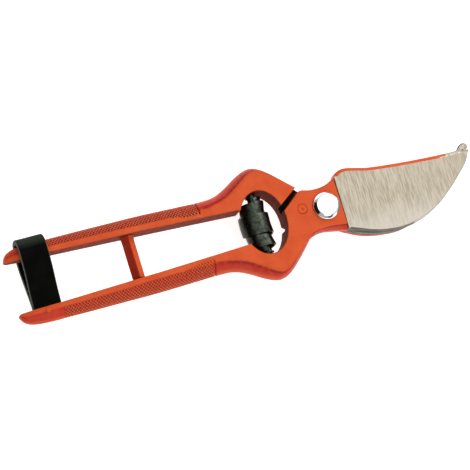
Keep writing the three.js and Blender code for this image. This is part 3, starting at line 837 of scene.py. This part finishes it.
def counter_blade():
    """The hooked counter blade behind, enamelled on its back and side in a darker tone as painted shade, its
    outside and tip rim near black as painted shade.
    """
    outline = counter_clockwise([*smooth(HOOK_BACK, 132), *smooth(HOOK_EDGE, 132)])

    def chamfer(x):
        return min(0.15 * (x - NECK_X), 1.1, 0.1 * (74.3 - x))

    def ring(share, lift):
        moved = inset(outline, lambda x, y: chamfer(x) * share)
        return [(mx, my, lift + HOOK_BASE + HOOK_RISE * x) for (x, _), (mx, my) in zip(outline, moved)]

    rings = [ring(share, lift) for share, lift in ((1.1, 0.0), (0.85, 0.2), (0.15, 1.15), (0.0, 1.4))]
    rings += [[(x, y, z) for x, y in outline] for z in (HOOK_STRIP, -0.3)]
    edge = inset(outline, lambda x, y: 0.1 + 0.35 * ease(66, 70, x))
    rings.append([(x, y, -LAP_GAP) for x, y in edge])
    obj = raw("counter_blade_forged", skin(rings))
    for m in (BLADE, HOOK_PAINT, EDGE_SHADE):
        obj.data.materials.append(m)
    # Painted shade: the whole hook takes the enamel's darker chamfer tone.
    mark(obj, "chamfer", [1.0] * len(obj.data.vertices))
    for face in obj.data.polygons:
        x, _, z = face.center
        side = len(face.vertices) == 4
        outer = side and face.normal.y < 0.1
        if outer or face.normal.z < -0.5:
            face.material_index = 1
        # Painted shade: the sides near the tip and the outside above the enamel near black.
        if side and z > HOOK_STRIP and (x > 67 or outer):
            face.material_index = 2
    finish_piece(obj, BACK, "counter_blade", sharp=25)


front_blade()
counter_blade()


# ---------------------------------------------------------------- pivot
SEAT = HALF + 0.05  # the head rests here, and the washer as far behind
NUT_FLATS, NUT_CORNERS = 6.5, 4.6  # half the width across flats, and the radius where the hexagon begins


def hexagon(angle, r):
    """The nut's radius: round inside and six-sided outside."""
    side = math.tau / 6
    local = (angle + side / 2) % side - side / 2
    return r if r < NUT_CORNERS else min(r, NUT_FLATS / math.cos(local))


def pivot():
    """The bolt with its bevelled head in front, and the washer and nut behind."""
    shank = [(3.4, -SHEAR_Z), (4, -SHEAR_Z + 0.6), (4, SEAT), (6.1, SEAT)]
    head = [
        (6.1, SEAT), (6.2, SEAT + 0.1), (6.2, SEAT + 0.62), (5.9, SEAT + 1.05), (4.9, SEAT + 2.2),
        (4.6, SEAT + 2.35), (0, SEAT + 2.4),
    ]
    profile = [*shank, *rounded(head, 0.18, 3)[1:-1], (NIB, head[-1][1])]
    bolt = raw("pivot_bolt_turned", turned(profile, 128))
    finish_piece(bolt, FRONT, "pivot_bolt", CHROME, sharp=50)
    top = -SEAT
    low = top - 1.2
    washer_profile = [(4.3, top), (6.75, top), (7, top - 0.25), (7, top - 0.95), (6.75, low), (4.3, low)]
    washer = raw("pivot_washer_stamped", tube(washer_profile))
    finish_piece(washer, FRONT, "pivot_washer", ZINC)
    high = top - 1.25
    nut_profile = [
        (4.1, high - 0.35), (4.5, high), (6.6, high), (7.05, high - 0.3), (7.6, high - 0.75),
        (7.6, high - 2.75), (7.05, high - 3.2), (6.6, high - 3.5), (4.5, high - 3.5), (4.1, high - 3.15),
    ]
    nut = raw("pivot_nut_forged", tube(nut_profile, hexagon))
    finish_piece(nut, FRONT, "pivot_nut", ZINC, sharp=28)


pivot()


# ---------------------------------------------------------------- spring, studs and bar
SPRING = {"x": -32.1, "bow": 2, "turns": 2, "thick": 0.85, "width": 9.2, "end": 4, "reach": 12.2}
SPRING_STEPS = 420
RIBBON_CORNER = 0.2
# Over the turns from the ribbon's middle: the coil's radius, in the lower half (below 0) and the upper one.
COIL_RADIUS = through([
    (-2, 3.7), (-1.75, 3.75), (-1.25, 4.9), (-1, 5.2), (-0.75, 5.3), (-0.5, 5.85), (-0.25, 6.5), (0, 6.5),
    (0.25, 6.4), (0.5, 5.85), (0.75, 5.1), (1, 5.2), (1.25, 5.3), (1.5, 4.5), (1.75, 3.7), (2, 3.7),
])
# And how far along the barrel the ribbon lies, the same in both halves.
COIL_PLACE = through([
    (0, 0), (0.25, 0.4), (0.5, 4.3), (0.75, 6.3), (1, 6.75), (1.25, 7.1), (1.5, 8.7), (1.75, 9.9), (2, 10.2),
])


def volute_spring():
    """A ribbon wound as a double cone, widest in the middle, its axis a little bowed."""
    s = SPRING
    h, c = s["thick"] / 2, RIBBON_CORNER
    rings = []
    for i in range(SPRING_STEPS + 1):
        t = -s["turns"] + 2 * s["turns"] * i / SPRING_STEPS
        mid = COIL_RADIUS(t)
        w = (s["width"] + (s["end"] - s["width"]) * abs(t) / s["turns"]) / 2
        middle = math.copysign(1, t) * COIL_PLACE(abs(t))
        angle = math.tau * (t + 0.25)  # the middle of the ribbon lies to the front
        sin, cos = math.sin(angle), math.cos(angle)
        outer = [(h, c - w), (h, 0), (h, w - c), (h - c, w), (c - h, w)]
        inner = [(-h, w - c), (-h, 0), (-h, c - w), (c - h, -w), (h - c, -w)]
        ring = []
        for dr, dy in outer + inner:
            y = middle + dy
            r = mid + dr
            ring.append((s["x"] + s["bow"] * (y / s["reach"]) ** 2 + r * cos, y, r * sin))
        rings.append(ring)
    obj = raw("volute_spring_wound", skin(rings))
    finish_piece(obj, None, "volute_spring", BLUED, sharp=50)
    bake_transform(obj)


def stud(name, node, body, over):
    """A turned stud from inside the spring's end coil into a bow, with a collar against the bow."""
    wall = SPRING["reach"] + 0.15
    low, high = 7.6, 19
    line = [
        (0, low), (1.6, low), (2.1, 8.1), (2.1, wall), (2.7, wall), (2.7, wall + 0.7), (1.8, wall + 0.7),
        (1.8, high), (0, high),
    ]
    obj = raw(name, spun(line, 0.15, 2, 48))
    obj.data.transform(Matrix.Translation((STUD_X, 0, 0)) @ Matrix.Rotation(math.pi / 2, 4, "X"))
    if over:
        turn_over(obj)
    finish_piece(obj, body, node, BLUED)


BAR_REACH = 4.2 / math.sqrt(2)  # half the bar's diagonal
BAR_CORNER = 0.35
BAR_FLARE = ((0, 0.6), (0.25, 0.432), (0.6, 0.27), (1.1, 0.132), (1.7, 0.048))
BAR_STRAIGHT = 2.8  # the flare ends this far below the handle
BAR_PEG = 1.5


def stop_bar():
    """A square bar set corner forward, with softened corners, a flared foot and a round peg."""
    flare = BAR_FLARE[0][1]
    top = INNER(BAR_X + BAR_REACH + flare) - 0.05
    bottom = -INNER(BAR_X + BAR_REACH) + 0.5

    def ring(y, r):
        out = []
        for k in range(4):
            a = math.pi / 2 * k
            for side in (-1, 0, 1):
                spread = BAR_CORNER / r * side * 0.8
                rr = r - (BAR_CORNER * 0.42 if side == 0 else BAR_CORNER * 0.62)
                out.append((BAR_X + rr * math.cos(a + spread), y, rr * math.sin(a + spread)))
        return out

    foot = top - BAR_STRAIGHT
    run = bottom + 0.5 - foot
    rings = [ring(top - below, BAR_REACH + more) for below, more in BAR_FLARE]
    rings += [ring(foot + run * k / 6, BAR_REACH) for k in range(7)]
    rings += [ring(bottom + 0.15, BAR_REACH - 0.2), ring(bottom, BAR_REACH - 0.5)]
    obj = raw("stop_bar_painted", skin(rings))
    combine(obj, peg(BAR_X, top - 1, top + 3.6, BAR_PEG), "UNION")
    # Painted shade: the bar's left half takes the darker chamfer tone and some of the wall's.
    for name, amount in (("chamfer", 1.0), ("wall", 0.3)):
        mark(obj, name, [amount if v.co.x < BAR_X + 0.15 else 0.0 for v in obj.data.vertices])
    finish_piece(obj, BACK, "stop_bar", PAINT, sharp=38)


volute_spring()
stud("lower_spring_stud_turned", "lower_spring_stud", FRONT, False)
stud("upper_spring_stud_turned", "upper_spring_stud", BACK, True)
stop_bar()


# ---------------------------------------------------------------- leather loop and its rivet
def strap_line():
    """The middle of the leather as (across the tool, height), from tail to tail round the upper handle."""
    s = STRAP
    wall = s["handle_half"] + s["gap"] + s["thick"] / 2
    together = s["thick"] / 2 + s["between"]
    crown = s["handle_top"] + s["gap"] + s["thick"] / 2
    turn_at = 13
    half = [
        (s["foot"], together), (s["mouth"] - 1.6, together), (s["mouth"], together + 0.15), (-2, 2.9),
        (5, 5), (10, wall - 0.15), (turn_at, wall + 0.1),
    ]
    for degrees in (20, 40, 60, 78):
        t = math.radians(degrees)
        rise = (crown - turn_at) * math.sin(t) ** 0.9
        half.append((turn_at + rise, (wall + 0.1) * math.cos(t) ** 0.85))
    return even(smooth([*half, (crown, 0), *[(y, -z) for y, z in half[::-1]]], 240), 181)


EDGE = 0.38  # how far the cut edges are rounded over
WIDTH_STEPS = 16
WAVE, BULGE = 0.12, 0.07  # unevenness of the leather's edges and of its surface


def strap():
    """The leather loop, swept along its middle line with rounded cut edges."""
    line = strap_line()
    x0, x1, half = STRAP["x0"], STRAP["x1"], STRAP["thick"] / 2
    wide = x1 - x0 - 2 * EDGE
    row = [(x0 + EDGE + wide * k / WIDTH_STEPS, half, 0.0) for k in range(WIDTH_STEPS + 1)]
    low, lower = half - EDGE * 0.3, half - EDGE
    right = [(x1 - EDGE * 0.3, low, 1.0), (x1, lower, 1.0), (x1, -lower, 1.0)]
    left = [(x0 + EDGE * 0.3, low, 1.0), (x0, lower, 1.0), (x0, -lower, 1.0)]
    rings, cuts = [], []
    for i, (y, z) in enumerate(line):
        (ay, az), (by, bz) = line[max(i - 1, 0)], line[min(i + 1, len(line) - 1)]
        along = Vector((by - ay, bz - az)).normalized()
        out = Vector((-along.y, along.x))
        ring = []
        wave = WAVE * noise.noise(Vector((y * 0.13, z * 0.13, 3.7)))
        for side, across in ((1, row + right), (-1, row[::-1] + left)):
            for x, h, cut in across:
                bulge = BULGE * noise.noise(Vector((x * 0.2, y * 0.2, z * 0.2 + 11 * side)))
                p = Vector((y, z)) + out * (side * h + bulge)
                ring.append((x + wave, p.x, p.y))
                cuts.append(cut)
        rings.append(ring)
    obj = raw("strap_leather", skin(rings))
    mark(obj, "cut", cuts)
    finish_piece(obj, LOOP, "strap", LEATHER, sharp=60, weighted=False)


def rivet():
    """A rivet through the lower handle and the strap's tails, peened at both ends."""
    half = [(0.9, 4.65), (1.1, 4.7), (0.8, 4.92), (0, 5.0)]
    line = [(r, -z) for r, z in half[::-1]] + half
    obj = raw("strap_rivet_peened", spun(line, 0.15, 3, 40))
    obj.data.transform(Matrix.Translation((RIVET_X, RIVET_Y, 0)))
    finish_piece(obj, FRONT, "strap_rivet", PAINT)


strap()
rivet()


# ---------------------------------------------------------------- floor and light
FLOOR_HALF, FLOOR_LOW, FLOOR_TOP = 3000, -8, -0.2
FLOOR_GLOW = 0.84


def floor():
    """A plain pale floor just under the end of the bolt."""
    n = Nodes("pale_floor", Roughness=0.85, Emission_Color=(1, 1, 1, 1), Emission_Strength=FLOOR_GLOW)
    shade = n.noise(120, 2)
    n.drive(Base_Color=n.mix(n.span(shade, 0.3, 0.7), (0.56, 0.56, 0.56), (0.59, 0.59, 0.59)))
    f = FLOOR_HALF
    obj = raw("floor", column([(-f, -f), (f, -f), (f, f), (-f, f)], FLOOR_LOW, FLOOR_TOP))
    obj.data.transform(Matrix.Scale(MM, 4))
    obj.data.materials.append(n.material)


def area_light(name, at, size, power):
    """A soft light that faces the shears."""
    data = bpy.data.lights.new(name, "AREA")
    data.shape = "RECTANGLE"
    data.size, data.size_y = size
    data.energy = power
    obj = bpy.data.objects.new(name, data)
    bpy.context.scene.collection.objects.link(obj)
    obj.location = at
    obj.rotation_euler = (-Vector(at)).to_track_quat("-Z", "Y").to_euler()


SURROUND = 0.5  # brightness of the white surroundings
DARKEST = 0.02  # share of it left in a dark corner
DARK_CORNERS = (((-0.97, 0.1, 0.14), 0.72), ((0.35, -0.93, 0.12), 0.9))  # direction, and cosine at its edge
CORNER_FADE = 0.12


def world():
    """Soft white surroundings, with two dark studio corners low down."""
    w = bpy.data.worlds.new("studio")
    bpy.context.scene.world = w
    w.use_nodes = True
    tree = w.node_tree
    background = tree.nodes["Background"]
    background.inputs["Strength"].default_value = SURROUND
    way = tree.nodes.new("ShaderNodeTexCoord").outputs["Generated"]
    corners = []
    for direction, close in DARK_CORNERS:
        dot = tree.nodes.new("ShaderNodeVectorMath")
        dot.operation = "DOT_PRODUCT"
        tree.links.new(way, dot.inputs[0])
        dot.inputs[1].default_value = Vector(direction).normalized()
        spot = tree.nodes.new("ShaderNodeMapRange")
        tree.links.new(dot.outputs["Value"], spot.inputs["Value"])
        spot.inputs["From Min"].default_value = close
        spot.inputs["From Max"].default_value = close + CORNER_FADE
        corners.append(spot.outputs[0])
    dark = tree.nodes.new("ShaderNodeMath")
    dark.operation = "MAXIMUM"
    for corner, socket in zip(corners, dark.inputs):
        tree.links.new(corner, socket)
    tone = tree.nodes.new("ShaderNodeMapRange")
    tone.inputs["To Min"].default_value = 1.0
    tone.inputs["To Max"].default_value = DARKEST
    tree.links.new(dark.outputs[0], tone.inputs["Value"])
    tree.links.new(tone.outputs[0], background.inputs["Color"])


floor()
world()
area_light("key", (0.95, 0.75, 0.85), (1.0, 1.0), 15)
area_light("fill", (-0.1, -1.3, 0.75), (1.2, 0.8), 7.5)
area_light("top", (0.1, 0.2, 1.5), (1.4, 1.4), 8)
bpy.context.scene.view_settings.view_transform = "Standard"
